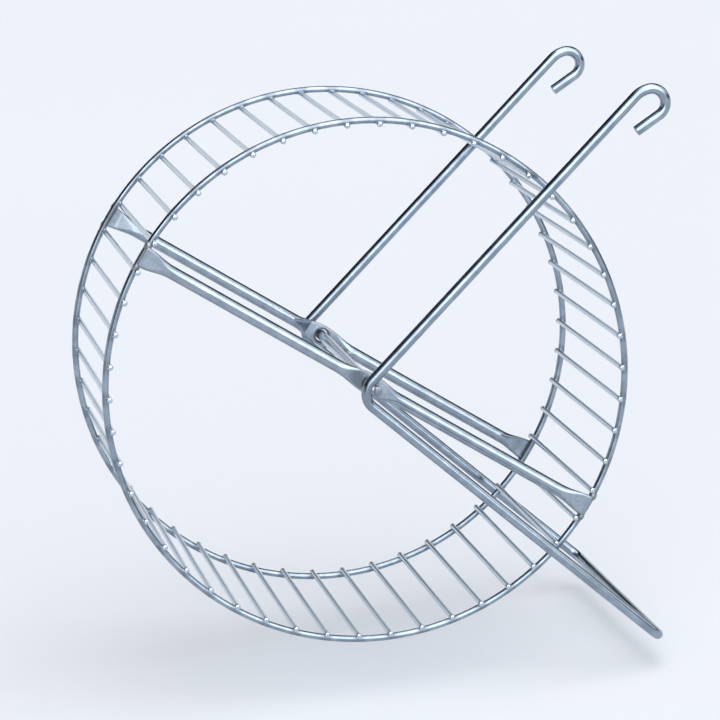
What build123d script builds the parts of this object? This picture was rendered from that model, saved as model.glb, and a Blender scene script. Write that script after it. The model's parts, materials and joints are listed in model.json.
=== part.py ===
from build123d import *
import math
import os

# Rodent exercise wheel of welded wire that hangs on a cage wall by two hooks.
# Millimetres. +X points to the cage wall, Y runs along the axle, +Z is up as it hangs.
# The origin is the middle of the line through both hook bends, where the cage bar lies.

# Wheel
wheel_outside = 200.0      # outside diameter over the two rings
wheel_width = 95.5         # over both rings, along the axle
ring_wire = 2.5            # wire diameter of a ring
rung_wire = 2.0            # wire diameter of a rung
rung_count = 50
rung_overhang = 0.8        # a rung stands out past the ring by this much
rung_weld_depth = 0.9      # how far rung and ring are pressed into each other

# Spokes: one tube across each ring, pressed flat at both ends and in the middle
spoke_angle = 145.0        # direction of the spokes at rest, from +X towards +Z
tube_outside = 5.0
tube_wall = 0.6
flat_slit = 0.2            # space left inside the tube where it is pressed flat
tab_inset = 1.0            # a tab ends this far inside the wheel's outside
tab_width = 8.3            # fish tail at each end
tab_corner = 1.0           # radius of a tab's two corners
tab_flat = 4.5             # length of a tab's flat face
tab_taper = 8.5            # length over which a tab turns back into the round tube
tab_weld_depth = 0.3       # how far a tab is pressed onto its ring
hub_wall = 1.5             # metal on each side of the axle hole
hub_flat = 6.5             # half length of the flat middle
hub_taper = 6.5            # length over which the flat middle turns into the round tube

# Stand: one bent wire with the axle welded into its two elbows
stand_wire = 4.0
axle_wire = 4.0
axle_play = 1.0            # the hub's holes are this much wider than the axle
side_gap = 10.85           # from a spoke's outer face to the wire of the stand
axle_past = 1.0            # the axle ends this far beyond the middle of the stand's wire
bar_gap = 10.0             # from the wheel's outside to the middle of the cage bar, level
foot_gap = 6.7             # the foot bar lies this far in front of the cage bar's middle
upper_angle = 42.3         # upper leg above level
lower_angle = -44.0        # lower leg below level
elbow_radius = 6.5         # bends are given at the wire's centre line
foot_radius = 5.0
hook_inside = 6.8          # clear width inside the hook's bend
hook_turn = 192.0          # the hook closes in a little more than a half turn
hook_lead_turn = 34.0      # the first part of that turn is a wider bend
hook_lead_radius = 10.0
hook_return = 10.5         # straight end of the hook
axle_seat_angle = -21.0    # from the axle towards the centre of the elbow's bend
axle_weld_depth = 0.3      # how far axle and elbow are pressed into each other
axle_weld_size = 2.0       # radius of the weld bead in the elbow

# Worked out from the above
ring_radius = (wheel_outside - ring_wire) / 2
ring_y = (wheel_width - ring_wire) / 2
rung_radius = ring_radius - (ring_wire + rung_wire) / 2 + rung_weld_depth
rung_length = wheel_width + 2 * rung_overhang
rung_step = 360.0 / rung_count
flat_thickness = 2 * tube_wall + flat_slit
spoke_reach = wheel_outside / 2 - tab_inset
spoke_face_y = wheel_width / 2 - tab_weld_depth + flat_thickness
axle_hole = axle_wire + axle_play
hub_width = axle_hole + 2 * hub_wall
stand_y = spoke_face_y + side_gap + stand_wire / 2
axle_length = 2 * (stand_y + axle_past)
axle_to_wire = (axle_wire + stand_wire) / 2 - axle_weld_depth
hook_radius = (hook_inside + stand_wire) / 2

# The section of the tube is two half rounds with this much straight between them
section_straight = 0.02
tube_width = tube_outside + section_straight


def level(angle):
    """Unit vector in the XZ plane, turned by angle from +X towards +Z."""
    return Vector(math.cos(math.radians(angle)), 0, math.sin(math.radians(angle)))


# Side view of the stand, first with the axle at (0, 0)
bar_x = wheel_outside / 2 + bar_gap
elbow_centre = level(axle_seat_angle) * (elbow_radius - axle_to_wire)
upper_start = elbow_centre + level(upper_angle + 90) * elbow_radius
lower_start = elbow_centre + level(lower_angle - 90) * elbow_radius
hook_side = level(upper_angle + 90 - hook_lead_turn)
hook_offset = level(upper_angle + 90) * hook_lead_radius - hook_side * (hook_lead_radius - hook_radius)
upper_leg = (bar_x + hook_offset.X - upper_start.X) / level(upper_angle).X
lower_leg = (bar_x - foot_gap - lower_start.X) / level(lower_angle).X
hook_centre = upper_start + level(upper_angle) * upper_leg - hook_offset
lead_centre = hook_centre - hook_side * (hook_lead_radius - hook_radius)
foot_corner = lower_start + level(lower_angle) * lower_leg

# The hook's bend is the origin, so everything else moves by this much
axle_place = hook_centre * -1


def at_axle(shape):
    """Moves a shape made about the axle's axis to its place under the hooks."""
    return Pos(axle_place.X, axle_place.Y, axle_place.Z) * shape


def bend(centre, radius, start_angle, turn, y):
    """Arc of the stand's centre line in a plane of constant y."""
    points = [centre + level(start_angle + turn * share) * radius for share in (0, 0.5, 1)]
    return ThreePointArc(*[Vector(p.X, y, p.Z) for p in points])


def stand_side(y):
    """Centre line of one side, from the hook's free end to the start of the foot's bend."""
    hook = bend(hook_centre, hook_radius, upper_angle + 90 - hook_turn, hook_turn - hook_lead_turn, y)
    lead = bend(lead_centre, hook_lead_radius, upper_angle + 90 - hook_lead_turn, hook_lead_turn, y)
    elbow = bend(elbow_centre, elbow_radius, upper_angle + 90, lower_angle - upper_angle + 180, y)
    hook_end = hook @ 0 - (hook % 0) * hook_return
    foot_start = foot_corner - level(lower_angle) * foot_radius
    foot_start = Vector(foot_start.X, y, foot_start.Z)
    upper = [Line(hook_end, hook @ 0), hook, lead, Line(lead @ 1, elbow @ 0)]
    return upper + [elbow, Line(elbow @ 1, foot_start)]


def foot_bend(y):
    """Bend from a lower leg into the foot bar that joins the two sides."""
    inward = Vector(0, -math.copysign(1, y), 0)
    corner = Vector(foot_corner.X, y, foot_corner.Z)
    start = corner - level(lower_angle) * foot_radius
    centre = start + inward * foot_radius
    middle = centre + (level(lower_angle) - inward).normalized() * foot_radius
    return ThreePointArc(start, middle, corner + inward * foot_radius)


def make_stand_wire():
    """One wire: front hook, leg, elbow, leg, foot bar, and the same again at the rear."""
    front = stand_side(-stand_y)
    rear = stand_side(stand_y)
    front_foot = foot_bend(-stand_y)
    rear_foot = foot_bend(stand_y)
    path = Wire(front + [front_foot, Line(front_foot @ 1, rear_foot @ 1), rear_foot] + rear)
    section = Plane(origin=path @ 0, z_dir=path % 0) * Circle(stand_wire / 2)
    return at_axle(sweep(section, path=path))


def rod(diameter, length):
    """Round rod along Y, centred on the origin."""
    return Rot(90, 0, 0) * Cylinder(diameter / 2, length)


def make_ring(y):
    return Pos(0, y, 0) * Rot(90, 0, 0) * Torus(ring_radius, ring_wire / 2)


def make_rung(rings):
    """Straight rung inside the rings, with a saddle at each end where the weld sank in."""
    rung = Pos(rung_radius, 0, 0) * rod(rung_wire, rung_length)
    return rung - rings[0] - rings[1]


def pressed(distance, flat, taper, flat_width):
    """Width and thickness of the tube at a distance from where it is pressed widest."""
    spread = (1 + math.cos(math.pi * distance / (flat + taper))) / 2
    rise = max(0.0, distance - flat) / taper
    width = tube_width + (flat_width - tube_width) * spread
    return width, flat_thickness + (tube_outside - flat_thickness) * rise


def tab_section(from_end):
    """The same for a tab, whose two corners are rounded."""
    width, thickness = pressed(from_end, tab_flat, tab_taper, tab_width)
    into_corner = max(0.0, tab_corner - from_end)
    inset = tab_corner - math.sqrt(tab_corner ** 2 - into_corner ** 2)
    return width - 2 * inset, thickness


def spoke_stations():
    """Stations from the middle outwards: distance, width and thickness of the tube."""
    thirds = (1 / 3, 2 / 3, 1)
    hub = [0, hub_flat / 2, hub_flat] + [hub_flat + hub_taper * share for share in thirds]
    tab = [0, tab_corner * 0.3, tab_corner, tab_flat] + [tab_flat + tab_taper * share for share in thirds]
    stations = [(x, *pressed(x, hub_flat, hub_taper, hub_width)) for x in hub]
    return stations + [(spoke_reach - x, *tab_section(x)) for x in reversed(tab)]


def spoke_skin(inset, past_end):
    """Loft through the stations on both sides of the middle, shrunk by inset all round."""
    outward = spoke_stations()
    end, width, thickness = outward[-1]
    outward[-1] = (end + past_end, width, thickness)
    both = [(-x, w, t) for x, w, t in reversed(outward[1:])] + outward
    sections = []
    for x, width, thickness in both:
        place = Plane(origin=(x, thickness / 2, 0), x_dir=(0, 0, 1), z_dir=(1, 0, 0))
        sections.append(place * SlotOverall(width - 2 * inset, thickness - 2 * inset))
    return loft(sections, ruled=True)


def make_spoke(side, ring):
    """Tube with its smooth outer face at spoke_face_y; side is -1 at the front, 1 at the rear."""
    bore = spoke_skin(tube_wall, tab_inset)
    tube = spoke_skin(0, 0) - bore - rod(axle_hole, 2 * tube_outside)
    placed = Pos(0, -spoke_face_y, 0) * tube
    if side > 0:
        placed = mirror(placed, about=Plane.XZ)
    placed = Rot(0, -spoke_angle, 0) * placed
    return placed - ring


def make_axle(stand):
    """Straight rod through both hub holes, seated in the elbows of the stand."""
    return at_axle(rod(axle_wire, axle_length)) - stand


def make_axle_weld(y, stand, axle):
    """Bead of weld between the axle's end and the inside of an elbow."""
    contact = level(axle_seat_angle) * (-axle_wire / 2)
    bead = Rot(0, -axle_seat_angle, 0) * Sphere(axle_weld_size)
    return at_axle(Pos(contact.X, y, contact.Z) * bead) - stand - axle


def make_all():
    """Every piece by its node name."""
    front_ring = make_ring(-ring_y)
    rear_ring = make_ring(ring_y)
    rung = make_rung([front_ring, rear_ring])
    stand = make_stand_wire()
    axle = make_axle(stand)
    pieces = {
        "stand_wire": stand,
        "axle": axle,
        "front_axle_weld": make_axle_weld(-stand_y, stand, axle),
        "rear_axle_weld": make_axle_weld(stand_y, stand, axle),
        "front_ring": at_axle(front_ring),
        "rear_ring": at_axle(rear_ring),
        "front_spoke": at_axle(make_spoke(-1, front_ring)),
        "rear_spoke": at_axle(make_spoke(1, rear_ring)),
    }
    for index in range(rung_count):
        # The spokes end midway between two rungs
        angle = spoke_angle + rung_step * (0.5 - index)
        pieces[f"rung_{index + 1:02d}"] = at_axle(Rot(0, -angle, 0) * rung)
    return pieces


os.makedirs("parts", exist_ok=True)
for name, piece in make_all().items():
    export_step(piece, f"parts/{name}.step")
print("axle at", [round(v, 3) for v in axle_place], "foot from axle", [round(v, 2) for v in foot_corner])
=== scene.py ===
import json
import math

import bmesh
import bpy
import numpy as np
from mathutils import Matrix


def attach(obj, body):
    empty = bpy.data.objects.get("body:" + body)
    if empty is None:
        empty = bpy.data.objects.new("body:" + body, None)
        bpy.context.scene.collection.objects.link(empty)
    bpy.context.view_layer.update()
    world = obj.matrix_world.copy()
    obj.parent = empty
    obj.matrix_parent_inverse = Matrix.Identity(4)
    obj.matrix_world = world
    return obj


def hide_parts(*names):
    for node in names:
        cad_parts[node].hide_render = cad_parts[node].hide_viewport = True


# Rodent exercise wheel of zinc-plated wire on a bent wire stand.
# The dictionaries give lengths in millimetres and angles in degrees, and meshes are put in as metres.
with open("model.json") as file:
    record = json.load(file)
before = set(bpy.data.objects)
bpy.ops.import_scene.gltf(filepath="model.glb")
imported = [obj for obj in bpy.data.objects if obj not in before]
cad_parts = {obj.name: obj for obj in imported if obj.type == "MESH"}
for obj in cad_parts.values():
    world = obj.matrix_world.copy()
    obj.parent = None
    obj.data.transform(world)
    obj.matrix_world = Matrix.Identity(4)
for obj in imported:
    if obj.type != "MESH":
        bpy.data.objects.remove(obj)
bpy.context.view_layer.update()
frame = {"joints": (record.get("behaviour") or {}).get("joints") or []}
print("frame loaded")

mm = 0.001
axlePlace = np.array(frame["joints"][0]["pos_m"]) / mm
yAxis = np.array([0.0, 1.0, 0.0])


# Unit vectors in the upright plane, angle a from +X towards +Z: (cos a, 0, sin a)
def level(angle):
    a = np.radians(np.asarray(angle, float))
    return np.stack([np.cos(a), np.zeros_like(a), np.sin(a)], -1)


# Quads between neighbouring rows and columns of a grid of vertices, row by row
def gridFaces(rows, columns, closeRows=False, closeColumns=True):
    r = np.arange(rows if closeRows else rows - 1)[:, None]
    c = np.arange(columns if closeColumns else columns - 1)[None, :]
    r2, c2 = (r + 1) % rows, (c + 1) % columns
    quads = np.stack([r * columns + c, r * columns + c2, r2 * columns + c2, r2 * columns + c], -1)
    return quads.reshape(-1, 4)


# Circle carried along a path: path + radius * (cos t * across + sin t * side), with t from 0 to 360 degrees.
# The attribute "lay" is (radius cos t, radius sin t, way travelled), so drawn lines can run with the wire.
def carryCircle(path, across, side, radius, sides):
    path = np.asarray(path, float)
    t = np.linspace(0, 2 * np.pi, sides, endpoint=False)
    radius = np.broadcast_to(radius, len(path))[:, None]
    c, s = radius * np.cos(t), radius * np.sin(t)
    points = path[:, None] + c[..., None] * across[:, None] + s[..., None] * side[:, None]
    steps = np.linalg.norm(np.diff(path, axis=0), axis=1)
    travelled = np.concatenate([[0], np.cumsum(steps)])[:, None]
    lay = np.stack([c, s, travelled + 0 * c], -1)
    return points, lay


# A shell is (vertices, lay, darkening, blocks of faces with one count of corners each). This one is a carried
# circle, with a flat face at both ends unless the path closes on itself. The darkening, from 0 to 1, says how
# much welding or being worn has darkened the zinc; round the spokes' axle holes it is grease and painted shade
# for the shadowed gap between axle and hole, and on the axle inside them worn zinc and the same painted shade.
def tubeShell(path, across, side, radius, sides, heat=None, closed=False):
    points, lay = carryCircle(path, across, side, radius, sides)
    n = len(points)
    blocks = [gridFaces(n, sides, closeRows=closed)]
    if not closed:
        blocks += [np.arange(sides)[None, ::-1], np.arange((n - 1) * sides, n * sides)[None]]
    heat = np.zeros(n) if heat is None else heat
    heat = np.repeat(heat, sides) if np.ndim(heat) == 1 else heat.reshape(-1)
    return points.reshape(-1, 3), lay.reshape(-1, 3), heat, blocks


# Egg-shaped bead: centre + u * a cos p cos t + v * b cos p sin t + w * c sin p, with p from pole to pole and
# t once round, swollen by waves that go two and three times round, so it isn't even
def beadShell(centre, u, v, w, size, lumps=0.12, seed=0, rings=8, sides=14, heat=1.0):
    p = np.linspace(-np.pi / 2, np.pi / 2, rings + 2)[1:-1, None]
    t = np.linspace(0, 2 * np.pi, sides, endpoint=False)[None, :]
    twofold = np.sin(2 * t + seed) * np.cos(p) ** 2
    threefold = np.sin(3 * t - 2.1 * seed + 4 * p) * np.cos(p) ** 3
    swell = 1 + lumps * (0.6 * twofold + 0.5 * threefold)
    unit = np.stack([np.cos(p) * np.cos(t), np.cos(p) * np.sin(t), np.sin(p) + 0 * t], -1) * swell[..., None]
    poles = np.array([[0, 0, -1.0], [0, 0, 1.0]])
    unit = np.concatenate([unit.reshape(-1, 3), poles])
    points = np.asarray(centre) + unit @ (np.stack([u, v, w]) * np.asarray(size, float)[:, None])
    k = np.arange(sides)
    after, pole, last = (k + 1) % sides, rings * sides + 0 * k, (rings - 1) * sides
    blocks = [gridFaces(rings, sides), np.stack([pole, after, k], -1),
              np.stack([pole + 1, last + k, last + after], -1)]
    return points, points - np.asarray(centre), np.full(len(points), heat), blocks


# Joins shells into one mesh object with normals outwards, smooth but for edges sharper than crease degrees.
# The layers are further attributes for the material: one for painted sheen, a lighter zinc colour that stands in
# for light the wire mirrors, and "satin" for pressed faces.
def addPiece(name, shells, material, body, nodes, crease=38, layers=None):
    points, lay, heat, faces, first = [], [], [], [], 0
    for shellPoints, shellLay, shellHeatAndShade, blocks in shells:
        points.append(shellPoints)
        lay.append(shellLay)
        heat.append(shellHeatAndShade)
        for block in blocks:
            faces += (block + first).tolist()
        first += len(shellPoints)
    points = (np.concatenate(points) * mm).astype(np.float32)
    mesh = bpy.data.meshes.new(name)
    mesh.from_pydata(points, [], faces)
    layer = mesh.attributes.new("lay", "FLOAT_VECTOR", "POINT")
    layer.data.foreach_set("vector", (np.concatenate(lay) * mm).astype(np.float32).ravel())
    # The first attribute is the darkening: burned zinc at the welds, and painted shade with grease and worn zinc
    # round the axle holes and on the axle
    for label, data in {"weldHeat": np.concatenate(heat), **(layers or {})}.items():
        layer = mesh.attributes.new(label, "FLOAT", "POINT")
        layer.data.foreach_set("value", np.broadcast_to(data, len(points)).astype(np.float32))
    work = bmesh.new()
    work.from_mesh(mesh)
    bmesh.ops.recalc_face_normals(work, faces=work.faces)
    work.to_mesh(mesh)
    work.free()
    mesh.shade_smooth()
    mesh.set_sharp_from_angle(angle=math.radians(crease))
    piece = bpy.data.objects.new(name, mesh)
    bpy.context.scene.collection.objects.link(piece)
    mesh.materials.append(material)
    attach(piece, body)
    if nodes:
        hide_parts(*nodes)
    print(name, len(mesh.vertices), "vertices", len(mesh.polygons), "faces")
    return piece


# sRGB hex to linear: c / 12.92 up to 0.04045, and ((c + 0.055) / 1.055) to the power of 2.4 above
def linear(hexColour):
    parts = [int(hexColour[k:k + 2], 16) / 255 for k in (1, 3, 5)]
    return [c / 12.92 if c <= 0.04045 else ((c + 0.055) / 1.055) ** 2.4 for c in parts] + [1.0]


# Adds a node, sets its properties and sockets, and links the sockets whose value is (node, output)
def addNode(tree, kind, settings=None, sockets=None):
    node = tree.nodes.new(kind)
    for key, value in (settings or {}).items():
        setattr(node, key, value)
    for key, value in (sockets or {}).items():
        if isinstance(value, tuple) and isinstance(value[0], bpy.types.Node):
            tree.links.new(value[0].outputs[value[1]], node.inputs[key])
        else:
            node.inputs[key].default_value = value
    return node


def newTree(name):
    material = bpy.data.materials.new(name)
    material.use_nodes = True
    material.node_tree.nodes.clear()
    return material, material.node_tree


# What all three finishes share: the lighter zinc colour painted as sheen on the rungs and the axle and the zinc
# where a press tool marked it, the roughness of pressed zinc and of burned zinc and painted shade, the noise
# values between which the tint goes from shade to light and the mottling from none to full, and the height of
# the bumps in metres
plating = {"fresh": "#bdccda", "pressed": "#74838f", "satinRoughness": 0.36, "burntRoughness": 0.5,
           "cloudRange": (0.35, 0.68), "mottle": 0.35, "mottleRange": (0.42, 0.58), "bumpHeight": 0.0001}


# Zinc electroplated over cold-drawn steel: a bright, slightly blue skin with soft die lines along the wire,
# cloudy patches a few millimetres long, and a grey matt burned patch beside each weld. The same dark colour is
# grease and painted shade round the spokes' axle holes and on the axle inside them, and a lighter colour is
# painted sheen on the rungs and the axle.
def platedSteel(name, look):
    material, tree = newTree(name)
    place = addNode(tree, "ShaderNodeTexCoord")
    lay = addNode(tree, "ShaderNodeAttribute", {"attribute_name": "lay"})
    heat = addNode(tree, "ShaderNodeAttribute", {"attribute_name": "weldHeat"})
    # Clouds in the plating, about look["cloud"] mm across
    clouds = addNode(tree, "ShaderNodeTexNoise", None,
                     {"Vector": (place, "Object"), "Scale": 1000 / look["cloud"], "Detail": 3.0,
                      "Roughness": 0.6})
    # Die lines: narrow round the wire, drawn out 60 times along it
    stretch = addNode(tree, "ShaderNodeMapping", None,
                      {"Vector": (lay, "Vector"), "Scale": (1.0, 1.0, 1 / 60)})
    lines = addNode(tree, "ShaderNodeTexNoise", None,
                    {"Vector": (stretch, "Vector"), "Scale": 1000 / look["line"], "Detail": 2.0,
                     "Roughness": 0.5})
    grains = addNode(tree, "ShaderNodeTexNoise", None,
                     {"Vector": (place, "Object"), "Scale": 1000 / look["grain"], "Detail": 2.0,
                      "Roughness": 0.5})
    tint = addNode(tree, "ShaderNodeValToRGB", None, {"Fac": (clouds, "Fac")})
    for stop, position, colour in zip(tint.color_ramp.elements, plating["cloudRange"], ("shade", "light")):
        stop.position, stop.color = position, linear(look[colour])
    # Painted sheen: a lighter zinc colour for the rungs and the axle, which mirror only a narrow cone of the
    # room round Y
    fresh = addNode(tree, "ShaderNodeAttribute", {"attribute_name": "fresh"})
    plated = addNode(tree, "ShaderNodeMix", {"data_type": "RGBA"},
                     {"Factor": (fresh, "Fac"), "A": (tint, "Color"), "B": linear(plating["fresh"])})
    # Faces that the press tool flattened are satin and mottled
    satin = addNode(tree, "ShaderNodeAttribute", {"attribute_name": "satin"})
    spots = addNode(tree, "ShaderNodeMapRange", None,
                    {"Value": (grains, "Fac"), "From Min": plating["mottleRange"][0],
                     "From Max": plating["mottleRange"][1], "To Min": 0.0, "To Max": plating["mottle"]})
    mottle = addNode(tree, "ShaderNodeMath", {"operation": "MULTIPLY", "use_clamp": True},
                     {0: (satin, "Fac"), 1: (spots, "Result")})
    pressedTint = addNode(tree, "ShaderNodeMix", {"data_type": "RGBA"},
                          {"Factor": (mottle, "Value"), "A": (plated, "Result"),
                           "B": linear(plating["pressed"])})
    # Burned zinc beside the welds, and grease, worn zinc and painted shade round the axle holes: its share
    # follows the darkening attribute and is patchy with the grain
    burnAndShade = addNode(tree, "ShaderNodeMath", {"operation": "MULTIPLY_ADD", "use_clamp": True},
                   {0: (grains, "Fac"), 1: 0.9, 2: -0.35})
    patchyBurnAndShade = addNode(tree, "ShaderNodeMath", {"operation": "ADD", "use_clamp": True},
                    {0: (burnAndShade, "Value"), 1: 0.55})
    strong = addNode(tree, "ShaderNodeMath", {"operation": "MULTIPLY"}, {0: (heat, "Fac"), 1: 1.5})
    burnAndShadeShare = addNode(tree, "ShaderNodeMath", {"operation": "MULTIPLY", "use_clamp": True},
                        {0: (patchyBurnAndShade, "Value"), 1: (strong, "Value")})
    colour = addNode(tree, "ShaderNodeMix", {"data_type": "RGBA"},
                     {"Factor": (burnAndShadeShare, "Value"), "A": (pressedTint, "Result"),
                      "B": linear(look["burnAndShade"])})
    gloss = addNode(tree, "ShaderNodeMapRange", None,
                    {"Value": (lines, "Fac"), "From Min": 0.3, "From Max": 0.7,
                     "To Min": look["roughness"] - 0.05, "To Max": look["roughness"] + 0.05})
    brushed = addNode(tree, "ShaderNodeMix", {"data_type": "FLOAT"},
                      {"Factor": (satin, "Fac"), "A": (gloss, "Result"), "B": plating["satinRoughness"]})
    rough = addNode(tree, "ShaderNodeMix", {"data_type": "FLOAT"},
                    {"Factor": (burnAndShadeShare, "Value"), "A": (brushed, "Result"),
                     "B": plating["burntRoughness"]})
    dents = addNode(tree, "ShaderNodeBump", None,
                    {"Strength": look["grainDepth"], "Distance": plating["bumpHeight"],
                     "Height": (grains, "Fac")})
    drawn = addNode(tree, "ShaderNodeBump", None,
                    {"Strength": look["lineDepth"], "Distance": plating["bumpHeight"],
                     "Height": (lines, "Fac"), "Normal": (dents, "Normal")})
    shader = addNode(tree, "ShaderNodeBsdfPrincipled", None,
                     {"Base Color": (colour, "Result"), "Metallic": 1.0, "Roughness": (rough, "Result"),
                      "Normal": (drawn, "Normal")})
    addNode(tree, "ShaderNodeOutputMaterial", None, {"Surface": (shader, "BSDF")})
    return material


# Sizes of clouds, die lines and grains in mm. The real grain is finer and is drawn as coarse as the render
# needs. Drawn wire has clear die lines, tube is smoother, and weld metal is duller, rough and without lines.
# The dark colour of each look is burned zinc beside the welds and also painted shade, with grease, round the
# axle holes and on the axle
wireLook = {"cloud": 6.0, "line": 0.45, "grain": 0.5, "shade": "#84929f", "light": "#9daab7",
            "burnAndShade": "#474c53", "roughness": 0.17, "grainDepth": 0.05, "lineDepth": 0.12}
tubeLook = {"cloud": 5.0, "line": 0.5, "grain": 0.7, "shade": "#8b97a4", "light": "#a0abb7",
            "burnAndShade": "#474c53", "roughness": 0.17, "grainDepth": 0.02, "lineDepth": 0.03}
weldLook = {"cloud": 1.5, "line": 0.6, "grain": 0.5, "shade": "#858a91", "light": "#b9bec4",
            "burnAndShade": "#4c5056", "roughness": 0.30, "grainDepth": 0.12, "lineDepth": 0.0}
wirePlating = platedSteel("zincPlatedDrawnWire", wireLook)
tubePlating = platedSteel("zincPlatedSteelTube", tubeLook)
weldPlating = platedSteel("zincPlatedWeldMetal", weldLook)
print("materials made")

# Stand: one bent wire
stand = {"wire": 4.0, "halfSpacing": 61.7, "upperAngle": 42.3, "lowerAngle": -44.0, "hookRadius": 5.4,
         "hookTurn": 192.0, "leadTurn": 34.0, "leadRadius": 10.0, "hookReturn": 10.5, "elbowRadius": 6.5,
         "elbowFromAxle": 2.8, "seatAngle": -21.0, "footRadius": 5.0, "footBar": (-6.7, -107.271),
         "sides": 32, "heat": 0.2, "heatReach": 9.0, "heatFade": 5.0}


# Arc in the upright plane: centre + radius * (cos a, 0, sin a), heading (cos, 0, sin) of a + 90 degrees
def arc(centre, radius, start, turn, count):
    a = start + turn * np.linspace(0, 1, count)
    return centre + level(a) * radius, level(a + 90)


# Centre line of the stand's wire: hook, leg, elbow and leg as arcs and straights in the front plane, the foot
# bar along Y, and the same mirrored at the rear. Where two straights meet, an arc touches both.
def standPath():
    up, low = stand["upperAngle"], stand["lowerAngle"]
    hookSide = level(up + 90 - stand["leadTurn"])
    leadCentre = -hookSide * (stand["leadRadius"] - stand["hookRadius"])
    hook, hookWay = arc(np.zeros(3), stand["hookRadius"], up + 90 - stand["hookTurn"],
                        stand["hookTurn"] - stand["leadTurn"], 30)
    lead, leadWay = arc(leadCentre, stand["leadRadius"], up + 90 - stand["leadTurn"], stand["leadTurn"], 9)
    elbowCentre = axlePlace + level(stand["seatAngle"]) * stand["elbowFromAxle"]
    elbow, elbowWay = arc(elbowCentre, stand["elbowRadius"], up + 90, low - up + 180, 22)
    # Free end of the hook, with a small break at the sheared edge
    tip = stand["hookReturn"]
    ends = np.array([tip, tip - 0.1, tip - 0.35, 5.0])[:, None]
    tail = hook[0] - hookWay[0] * ends
    corner = np.array([stand["footBar"][0], 0, axlePlace[2] + stand["footBar"][1]])
    lowStart = corner - level(low) * stand["footRadius"]
    legs = np.linspace(0.25, 0.75, 3)[:, None]
    upperLeg = lead[-1] + (elbow[0] - lead[-1]) * legs
    lowerLeg = elbow[-1] + (lowStart - elbow[-1]) * legs
    points = np.concatenate([tail, hook, lead[1:], upperLeg, elbow, lowerLeg])
    way = np.concatenate([np.tile(hookWay[0], (4, 1)), hookWay, leadWay[1:], np.tile(-level(up), (3, 1)),
                          elbowWay, np.tile(level(low), (3, 1))])
    front = points - yAxis * stand["halfSpacing"]
    # Foot: the wire turns from the leg's direction to +Y about a centre on its inner side
    a = np.radians(np.linspace(0, 90, 14))[:, None]
    down = level(low)
    footCentre = lowStart - yAxis * (stand["halfSpacing"] - stand["footRadius"])
    foot = footCentre + stand["footRadius"] * (down * np.sin(a) - yAxis * np.cos(a))
    footWay = down * np.cos(a) + yAxis * np.sin(a)
    footMid = corner + yAxis * np.array([[-30.0], [0.0], [30.0]])
    mirror = np.array([1, -1, 1])
    path = np.concatenate([front, foot, footMid, (foot * mirror)[::-1], (front * mirror)[::-1]])
    ways = np.concatenate([way, footWay, np.tile(yAxis, (3, 1)), (footWay * -mirror)[::-1],
                           (way * -mirror)[::-1]])
    # Across and side stay square to the path without twisting
    side = np.cross(way, yAxis)
    footSide = np.tile(np.cross(down, yAxis), (2 * len(foot) + len(footMid), 1))
    side = np.concatenate([side, footSide, side[::-1]])
    across = np.cross(side, ways)
    return path, across, side


path, across, side = standPath()
radius = np.full(len(path), stand["wire"] / 2)
radius[[0, 1]] = radius[[-1, -2]] = [stand["wire"] / 2 - 0.3, stand["wire"] / 2 - 0.06]
toAxle = np.linalg.norm((path - axlePlace)[:, [0, 2]], axis=1)
heat = np.clip((stand["heatReach"] - toAxle) / stand["heatFade"], 0, 1) * stand["heat"]
addPiece("standWire", [tubeShell(path, across, side, radius, stand["sides"], heat)], wirePlating, "stand",
         ["stand_wire"])

# Axle, dark where the hub holes run, with worn zinc and painted shade for the shadowed gap between axle and
# hole, darker also at its ends, and the two welds that hold it in the elbows
axle = {"wire": 4.0, "halfLength": 62.7, "sides": 32, "fresh": 0.6, "weld": (1.4, 2.6, 2.1), "weldBack": 1.85,
        "weldLumps": 0.10, "weldHeat": 0.4}
reach = np.array([0, 0.12, 0.45, 12.0, 12.8, 13.6, 16.6, 18.0, 30])
ends = np.concatenate([-axle["halfLength"] + reach, axle["halfLength"] - reach[::-1]])
trim = np.array([0.35, 0.08, 0, 0, 0, 0, 0, 0, 0])
# Darkening along the axle: at the ends, and most where it runs through the hub holes, where it is worn zinc and
# painted shade of the gap
wearAndShade = np.array([0.6, 0.6, 0.5, 0, 0.2, 1.0, 1.0, 0.2, 0])
radius = axle["wire"] / 2 - np.concatenate([trim, trim[::-1]])
rod = axlePlace + ends[:, None] * yAxis
flat = np.tile([1.0, 0, 0], (len(rod), 1))
upright = np.tile([0, 0, 1.0], (len(rod), 1))
shell = tubeShell(rod, flat, upright, radius, axle["sides"], np.concatenate([wearAndShade, wearAndShade[::-1]]))
# The axle carries painted sheen: its zinc is drawn lighter to stand in for light it mirrors
addPiece("axleRod", [shell], wirePlating, "stand", ["axle"], layers={"fresh": axle["fresh"]})
out = level(stand["seatAngle"] + 180)
beads = []
for end in (-1, 1):
    spot = axlePlace + out * axle["weldBack"] + yAxis * end * (stand["halfSpacing"] - 0.3)
    beads.append(beadShell(spot, out, np.cross(yAxis, out), yAxis, axle["weld"], axle["weldLumps"], 1.3 + end,
                           14, 28, axle["weldHeat"]))
addPiece("axleWelds", beads, weldPlating, "stand", ["front_axle_weld", "rear_axle_weld"])

# Wheel: two rings, fifty rungs, two spokes
wheel = {"ringRadius": 98.75, "ringWire": 2.5, "ringY": 46.5, "rungRadius": 97.4, "rungWire": 2.0,
         "rungEnd": 48.55, "rungs": 50, "spokeAngle": 145.0, "ringSteps": 400, "ringSides": 20, "rungSides": 16,
         "rungHeat": 0.35, "rungHeatReach": 2.8, "tabHeat": 0.5, "tabHeatReach": 6.5}
rungAngles = wheel["spokeAngle"] + 360 / wheel["rungs"] * (0.5 - np.arange(wheel["rungs"]))


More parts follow.
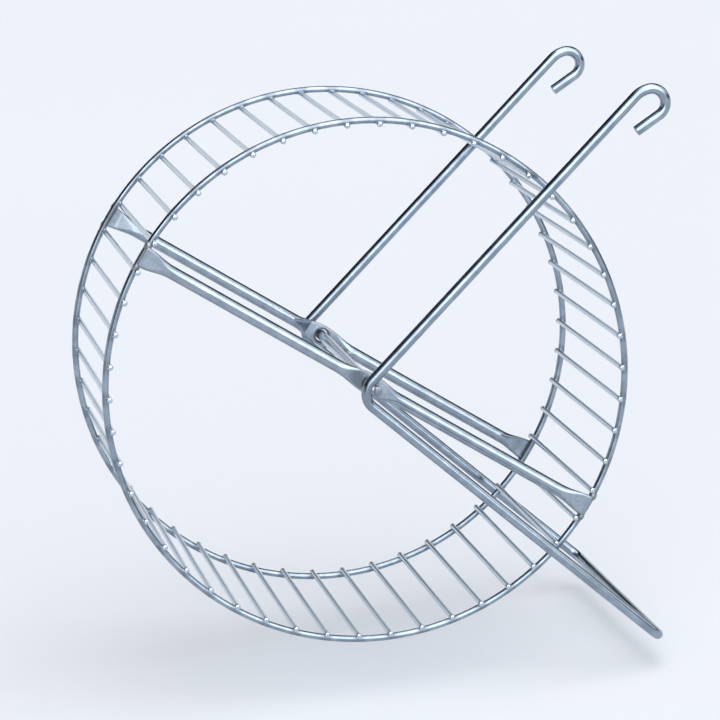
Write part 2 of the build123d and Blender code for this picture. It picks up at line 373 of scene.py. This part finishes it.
# Ring: circle of the wire carried round the wheel's axis. Heat rises towards each rung and each tab
def makeRing(name, node, end):
    a = wheel["spokeAngle"] + np.linspace(0, 360, wheel["ringSteps"], endpoint=False)
    line = axlePlace + level(a) * wheel["ringRadius"] + yAxis * end * wheel["ringY"]
    degree = np.pi / 180 * wheel["ringRadius"]
    fromRung = np.abs((a[:, None] - rungAngles[None, :] + 180) % 360 - 180).min(1) * degree
    fromTab = np.abs((a - wheel["spokeAngle"] + 90) % 180 - 90) * degree
    heat = np.maximum(np.clip(wheel["rungHeatReach"] - fromRung, 0, 1) * wheel["rungHeat"],
                      np.clip((wheel["tabHeatReach"] - fromTab) / 2, 0, 1) * wheel["tabHeat"])
    shell = tubeShell(line, level(a), np.tile(yAxis, (len(a), 1)), wheel["ringWire"] / 2, wheel["ringSides"],
                      heat, True)
    addPiece(name, [shell], wirePlating, "wheel", [node])


makeRing("ringFront", "front_ring", -1)
makeRing("ringRear", "rear_ring", 1)

# Rungs: straight wires whose ends are mushroomed a little by the welding, with a fillet bead at each crossing
rung = {"fillet": (1.75, 0.62, 1.5), "filletOut": 0.75, "filletLumps": 0.15, "filletHeat": 0.1, "heat": 0.6,
        "fresh": 0.85}
reach = np.array([0, 0.08, 0.2, 0.42, 1.2, 3.0])
ends = np.concatenate([-wheel["rungEnd"] + reach, wheel["rungEnd"] - reach[::-1]])
swell = np.array([-0.5, -0.2, -0.02, 0.08, 0.05, 0])
radius = wheel["rungWire"] / 2 + np.concatenate([swell, swell[::-1]])
heat = np.array([0, 0, 0.1, 0.4, 0.6, 0])
heat = np.concatenate([heat, heat[::-1]]) * rung["heat"]
shells = []
for k, a in enumerate(rungAngles):
    outward, around = level(a), level(a + 90)
    line = axlePlace + outward * wheel["rungRadius"] + ends[:, None] * yAxis
    count = len(line)
    shells.append(tubeShell(line, np.tile(outward, (count, 1)), np.tile(around, (count, 1)), radius,
                            wheel["rungSides"], heat))
    for end in (-1, 1):
        spot = axlePlace + outward * (wheel["rungRadius"] + rung["filletOut"]) + yAxis * end * wheel["ringY"]
        shells.append(beadShell(spot, around, outward, yAxis, rung["fillet"], rung["filletLumps"],
                                k * 2.4 + end, 6, 12, rung["filletHeat"]))
# The rungs carry painted sheen: their zinc is drawn lighter to stand in for light they mirror
addPiece("rungs", shells, wirePlating, "wheel", [f"rung_{k:02d}" for k in range(1, 51)],
         layers={"fresh": rung["fresh"]})

# Spokes: one tube pressed flat at both ends and in the middle, where the axle hole goes through
# The last entry is how far in mm the dark ring round the axle hole, grease and painted shade, fades out
spoke = {"tube": 5.0, "flat": 1.4, "reach": 99.0, "face": 48.85, "tabWidth": 8.3, "tabFlat": 4.5,
         "tabTaper": 8.5, "tabCorner": 1.0, "hubWidth": 8.0, "hubFlat": 6.5, "hubTaper": 6.5, "hole": 5.0,
         "holeBreak": 0.06, "evenness": 0.45, "around": 64, "strip": 10, "slit": 0.2, "wall": 0.6,
         "tabHeat": 0.25, "holeGreaseAndShadeFade": 0.6}


# Width and thickness at a distance from the widest place of a pressed flat. The width falls as half a cosine
# wave, the thickness rises in a straight line from the flat and eases into the round tube by a parabola.
def pressed(distance, flat, taper, flatWidth):
    spread = (1 + np.cos(np.pi * np.clip(distance / (flat + taper), 0, 1))) / 2
    s = np.clip((distance - flat) / taper, 0, 1.25)
    u = np.clip((s - 0.75) / 0.5, 0, 1)
    rise = np.where(s < 0.75, s, 0.75 + 0.25 * (2 * u - u * u))
    width = spoke["tube"] + (flatWidth - spoke["tube"]) * spread
    return width, spoke["flat"] + (spoke["tube"] - spoke["flat"]) * rise


# Outline of the tube in (thickness, width): two half rounds joined by straight sides, its points evenly
# spaced along the outline, starting in the middle of the inner face
def tubeOutline(width, thickness, count):
    width, thickness = width[:, None], thickness[:, None]
    straight, r = np.maximum(width - thickness, 0), thickness / 2
    total = 2 * straight + 2 * np.pi * r
    d = np.arange(count)[None, :] / count * total
    quarter = straight / 2
    bend = np.pi * r
    a1 = (d - quarter) / r
    a2 = (d - quarter - bend - straight) / r
    z = np.select([d < quarter, d < quarter + bend, d < 3 * quarter + bend, d < 3 * quarter + 2 * bend],
                  [d, quarter + r * np.sin(a1), quarter - (d - quarter - bend), -quarter - r * np.sin(a2)],
                  -quarter + (d - 3 * quarter - 2 * bend))
    y = np.select([d < quarter, d < quarter + bend, d < 3 * quarter + bend, d < 3 * quarter + 2 * bend],
                  [r + 0 * d, r * np.cos(a1), -r + 0 * d, -r * np.cos(a2)], r + 0 * d)
    return y, z


# Spoke: outlines of the pressed tube at stations along it, joined by quads. Each flat face is left open over a
# strip at the middle and filled with loops, circle * (1 - share) + strip's edge * share, that rise to a low lip
# at the hole. The hole's wall joins the two circles and has a groove where the tube's two walls meet.
def spokeShell():
    m, strip = spoke["around"], spoke["strip"]
    hubEnd = spoke["hubFlat"]
    hub = np.concatenate([np.arange(0, 3.6, 0.4), np.arange(4.2, hubEnd, 0.6), [hubEnd]])
    grow = hubEnd + spoke["hubTaper"] * np.linspace(0, 1.25, 13)[1:]
    tabStart = spoke["reach"] - spoke["tabFlat"]
    shrink = tabStart - spoke["tabTaper"] * np.linspace(1.25, 0, 15)
    tab = tabStart + spoke["tabFlat"] * np.array([0.25, 0.5, 0.75])
    corner = spoke["reach"] - np.array([1.0, 0.75, 0.5, 0.3, 0.15, 0.06, 0.0])
    x = np.concatenate([hub, grow, np.linspace(grow[-1], shrink[0], 6)[1:-1], shrink, tab, corner])
    fromHub, fromEnd = x, spoke["reach"] - x
    w1, t1 = pressed(fromHub, spoke["hubFlat"], spoke["hubTaper"], spoke["hubWidth"])
    w2, t2 = pressed(fromEnd, spoke["tabFlat"], spoke["tabTaper"], spoke["tabWidth"])
    nearTab = x > spoke["reach"] / 2
    w, t = np.where(nearTab, w2, w1), np.where(nearTab, t2, t1)
    into = np.maximum(0, spoke["tabCorner"] - fromEnd)
    w = w - 2 * (spoke["tabCorner"] - np.sqrt(spoke["tabCorner"] ** 2 - into ** 2))
    # The sheared end is broken by a tenth of a millimetre and shows the slit between the pressed walls
    trim = np.clip((0.15 - fromEnd) / 0.15, 0, 1) ** 2 * 0.12
    x = np.concatenate([x, [spoke["reach"], spoke["reach"] - 1.2]])
    slitWidth = w[-1] - 2.4 * spoke["wall"]
    w = np.concatenate([w - 2 * trim, [slitWidth, slitWidth]])
    middle = t / 2
    t = np.concatenate([t - 2 * trim, [spoke["slit"], spoke["slit"]]])
    middle = np.concatenate([middle, [middle[-1], middle[-1]]])
    halves = ((-1, x), (1, w), (1, t), (1, middle))
    x, w, t, middle = (np.concatenate([sign * v[:0:-1], v]) for sign, v in halves)
    y, z = tubeOutline(w, t, m)
    grid = np.stack([x[:, None] + 0 * y, middle[:, None] + y, z], -1)
    n = len(x)
    index = np.arange(n * m).reshape(n, m)
    centre = n // 2
    span = len(hub) - 1
    a, b = centre - span, centre + span
    # Faces of the skin, without the two strips round the axle hole
    column = (np.arange(m) + m // 2) % m - m // 2
    inner = (column >= -strip) & (column < strip)
    outer = np.roll(inner, m // 2)
    rows = np.arange(n - 1)
    keep = ~(((rows >= a) & (rows < b))[:, None] & (inner | outer)[None, :])
    skin = gridFaces(n, m).reshape(n - 1, m, 4)[keep]
    blocks = [skin, index[:1, ::-1], index[-1:]]
    points, first = [grid.reshape(-1, 3)], n * m
    rings = []
    for middleColumn in (0, m // 2):
        # Outline of the strip, once round
        c = (middleColumn + np.arange(-strip, strip + 1) * (1 if middleColumn == 0 else -1)) % m
        loop = np.concatenate([index[a, c], index[a + 1:b + 1, c[-1]], index[b, c[::-1]][1:],
                               index[b - 1:a:-1, c[0]]])
        edge = grid.reshape(-1, 3)[loop]
        turn = np.arctan2(edge[:, 2], edge[:, 0])
        even = np.unwrap(turn)
        onceRound = np.sign(even[-1] - even[0]) * 2 * np.pi
        spread = np.linspace(even[0], even[0] + onceRound, len(loop), endpoint=False)
        turn = even * (1 - spoke["evenness"]) + spread * spoke["evenness"]
        r = spoke["hole"] / 2 + spoke["holeBreak"]
        face = edge[:, 1:2]
        raised = np.sign(face.mean() - spoke["flat"] / 2)
        shares = [0, 0.05, 0.14, 0.3, 0.6]
        lips = [0.02, 0.10, 0.09, 0.03, 0.0]
        loops = []
        for share, lip in zip(shares, lips):
            ringAt = np.stack([r * np.cos(turn), 0 * turn, r * np.sin(turn)], -1)
            p = ringAt * (1 - share) + edge * share
            p[:, 1] = face[:, 0] + raised * lip
            points.append(p)
            loops.append(first + np.arange(len(loop)))
            first += len(loop)
        loops.append(loop)
        for one, two in zip(loops[:-1], loops[1:]):
            blocks.append(np.stack([one, np.roll(one, -1), np.roll(two, -1), two], -1))
        rings.append((loops[0], turn, face[0, 0]))
    # Wall of the hole, with the line where the two walls of the tube meet
    (ringA, turnA, faceA), (ringB, turnB, faceB) = rings
    loops = [ringA]
    for share, deep in ((0.06, 0.0), (0.42, 0.0), (0.45, 0.18), (0.55, 0.18), (0.58, 0.0), (0.94, 0.0)):
        r = spoke["hole"] / 2 + deep
        turn = turnA * (1 - share) + turnB * share
        p = np.stack([r * np.cos(turn), faceA + (faceB - faceA) * share + 0 * turn, r * np.sin(turn)], -1)
        points.append(p)
        loops.append(first + np.arange(len(p)))
        first += len(p)
    loops.append(ringB)
    for one, two in zip(loops[:-1], loops[1:]):
        blocks.append(np.stack([one, np.roll(one, -1), np.roll(two, -1), two], -1))
    points = np.concatenate(points)
    lay = points[:, [1, 2, 0]]
    fromHole = np.hypot(points[:, 0], points[:, 2]) - spoke["hole"] / 2
    heat = np.clip((np.abs(points[:, 0]) - spoke["reach"] + 2.5) / 2, 0, 1) * spoke["tabHeat"]
    # Grease and painted shade: a dark ring round the axle hole stands in for the shadowed gap between hole and
    # axle
    heat += np.clip(1.8 - fromHole / spoke["holeGreaseAndShadeFade"], 0, 1)
    return points, lay, heat, blocks


# Turns the shell to the spokes' angle and puts its smooth outer face outside. Satin rises from 0 on the round
# tube to 1 where it is pressed to its least thickness.
def makeSpoke(name, node, end, shell):
    points, lay, heat, blocks = shell
    along, over = level(wheel["spokeAngle"]), level(wheel["spokeAngle"] + 90)
    place = axlePlace + yAxis * end * spoke["face"]
    points = place + points[:, :1] * along - end * points[:, 1:2] * yAxis + points[:, 2:] * over
    fromMiddle = np.abs(shell[0][:, 0])
    hubThick = pressed(fromMiddle, spoke["hubFlat"], spoke["hubTaper"], spoke["hubWidth"])[1]
    tabThick = pressed(spoke["reach"] - fromMiddle, spoke["tabFlat"], spoke["tabTaper"], spoke["tabWidth"])[1]
    thin = np.clip((spoke["tube"] - np.minimum(hubThick, tabThick)) / (spoke["tube"] - spoke["flat"]), 0, 1)
    addPiece(name, [(points, lay, heat, blocks)], tubePlating, "wheel", [node], 25,
             {"satin": thin})


shell = spokeShell()
makeSpoke("spokeFront", "front_spoke", -1, shell)
makeSpoke("spokeRear", "rear_spoke", 1, shell)

# Weld beads where a ring passes under the corners of a tab
tabWeld = {"size": (2.1, 1.4, 1.4), "across": 4.3, "out": 98.7, "back": 0.3, "lumps": 0.2, "heat": 0.4}
fromMiddle = spoke["face"] - spoke["flat"] - tabWeld["back"]
beads = []
for end in (-1, 1):
    for turn in (0, 180):
        along, over = level(wheel["spokeAngle"] + turn), level(wheel["spokeAngle"] + turn + 90)
        for hand in (-1, 1):
            spot = (axlePlace + along * tabWeld["out"] + over * hand * tabWeld["across"]
                    + yAxis * end * fromMiddle)
            beads.append(beadShell(spot, over, along, yAxis, tabWeld["size"], tabWeld["lumps"],
                                   hand + turn + end, 8, 14, tabWeld["heat"]))
addPiece("tabWelds", beads, weldPlating, "wheel", [])
print("pieces made")

# Floor: painted board, pale and dull, with hardly visible clouds. Its height is in mm and its size in metres.
studio = {"floorHeight": -217.0, "floorSize": 30.0, "floorShade": "#d7dae0", "floorLight": "#dbdee4"}
mesh = bpy.data.meshes.new("paleFloor")
s, z = studio["floorSize"] / 2, studio["floorHeight"] * mm
mesh.from_pydata([(-s, -s, z), (s, -s, z), (s, s, z), (-s, s, z)], [], [(0, 1, 2, 3)])
floor = bpy.data.objects.new("paleFloor", mesh)
bpy.context.scene.collection.objects.link(floor)
material, tree = newTree("paintedFloor")
place = addNode(tree, "ShaderNodeTexCoord")
cloud = addNode(tree, "ShaderNodeTexNoise", None, {"Vector": (place, "Object"), "Scale": 1.3, "Detail": 1.0})
tint = addNode(tree, "ShaderNodeMix", {"data_type": "RGBA"},
               {"Factor": (cloud, "Fac"), "A": linear(studio["floorShade"]),
                "B": linear(studio["floorLight"])})
shader = addNode(tree, "ShaderNodeBsdfPrincipled", None, {"Base Color": (tint, "Result"), "Roughness": 0.9})
addNode(tree, "ShaderNodeOutputMaterial", None, {"Surface": (shader, "BSDF")})
mesh.materials.append(material)

# The room by direction: behind the wheel a pale backdrop, then the dark room above it up to the light
# ceiling, and a dim grey room on the camera's side. Each colour has the sine of its height above the horizon.
sky = {"back": [(0, "#f4f6fa"), (0.25, "#f1f3f7"), (0.34, "#0a0c0f"), (0.78, "#101316"), (0.89, "#8b93a0"),
                (1, "#ffffff")],
       "fore": [(0, "#626c7a"), (0.5, "#343a43"), (0.8, "#a9b1bd"), (1, "#ffffff")],
       "foreWay": (0.3, -0.95, 0.0), "foreEdge": (-0.35, 0.45)}
world = bpy.data.worlds.new("studioWorld")
bpy.context.scene.world = world
world.use_nodes = True
tree = world.node_tree
tree.nodes.clear()
view = addNode(tree, "ShaderNodeTexCoord")
axes = addNode(tree, "ShaderNodeSeparateXYZ", None, {"Vector": (view, "Generated")})


# Colour ramp over the sine of the height above the horizon
def heightRamp(colours):
    node = addNode(tree, "ShaderNodeValToRGB", None, {"Fac": (axes, "Z")})
    ramp = node.color_ramp
    ramp.elements[0].color, ramp.elements[1].color = linear(colours[0][1]), linear(colours[-1][1])
    for height, colour in colours[1:-1]:
        ramp.elements.new(height).color = linear(colour)
    return node


back, fore = heightRamp(sky["back"]), heightRamp(sky["fore"])
lean = addNode(tree, "ShaderNodeVectorMath", {"operation": "DOT_PRODUCT"},
               {0: (view, "Generated"), 1: sky["foreWay"]})
share = addNode(tree, "ShaderNodeMapRange", {"interpolation_type": "SMOOTHSTEP"},
                {"Value": (lean, "Value"), "From Min": sky["foreEdge"][0], "From Max": sky["foreEdge"][1]})
both = addNode(tree, "ShaderNodeMix", {"data_type": "RGBA"},
               {"Factor": (share, "Result"), "A": (back, "Color"), "B": (fore, "Color")})
light = addNode(tree, "ShaderNodeBackground", None, {"Color": (both, "Result"), "Strength": 1.0})
addNode(tree, "ShaderNodeOutputWorld", None, {"Surface": (light, "Background")})


# Large far softboxes, so the light is even over the whole floor: direction, width in degrees, strength
softboxes = {"frontSoftbox": ((0.08, -0.87, 0.46), 76, 3.5), "rightSoftbox": ((0.75, -0.3, 0.6), 52, 0.85),
             "topSoftbox": ((0.1, -0.1, 1.0), 50, 0.85)}
for name, (way, wide, strength) in softboxes.items():
    lamp = bpy.data.lights.new(name, "SUN")
    lamp.energy, lamp.angle = strength, math.radians(wide)
    holder = bpy.data.objects.new(name, lamp)
    fromUp = math.atan2(math.hypot(*way[:2]), way[2])
    holder.rotation_euler = (fromUp, 0, math.atan2(way[1], way[0]) + math.pi / 2)
    bpy.context.scene.collection.objects.link(holder)

# Camera at the photograph's angle, worked out for a frame of 720 by 720
camera = {"place": (-347.77, -1312.53, 191.93), "turn": (77.7075, 3.8076, -11.3487), "lens": 176.986}
eye = bpy.data.cameras.new("photoCamera")
eye.lens, eye.sensor_width, eye.sensor_fit = camera["lens"], 36.0, "HORIZONTAL"
eye.clip_start, eye.clip_end = 0.05, 200
holder = bpy.data.objects.new("photoCamera", eye)
holder.location = [v * mm for v in camera["place"]]
holder.rotation_euler = [math.radians(v) for v in camera["turn"]]
bpy.context.scene.collection.objects.link(holder)
bpy.context.scene.camera = holder
bpy.context.scene.view_settings.view_transform = "Standard"
print("studio made")
